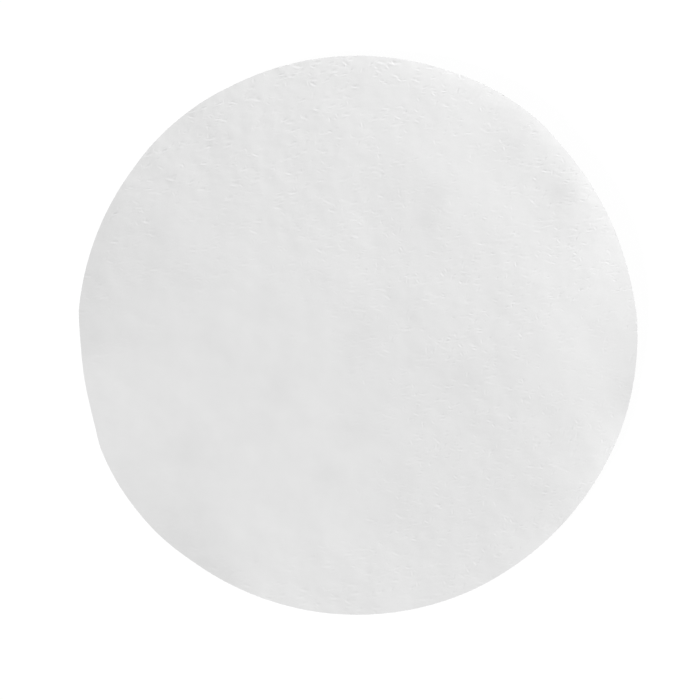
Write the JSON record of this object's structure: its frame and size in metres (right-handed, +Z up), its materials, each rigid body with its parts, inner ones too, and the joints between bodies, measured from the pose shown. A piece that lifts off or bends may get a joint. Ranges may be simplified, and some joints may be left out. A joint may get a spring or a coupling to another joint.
{
  "type": "filter paper disc",
  "caption": "Round disc of white creped filter paper, a porous sheet that lies in a funnel and holds solids back while liquid runs through.",
  "frame": {"origin": "centre of the disc, on the plane that its flat middle lies on", "axes": "+Z up, square to the flat middle of the sheet; +X and +Y in the plane of the sheet, with +Y up the face as it is seen from above"},
  "size_m": [0.11, 0.11, 0.003],
  "materials": {
    "filter_paper": "matte, finely creped"
  },
  "bodies": {
    "root": {"paper_disc": "filter_paper"}
  },
  "joints": []
}
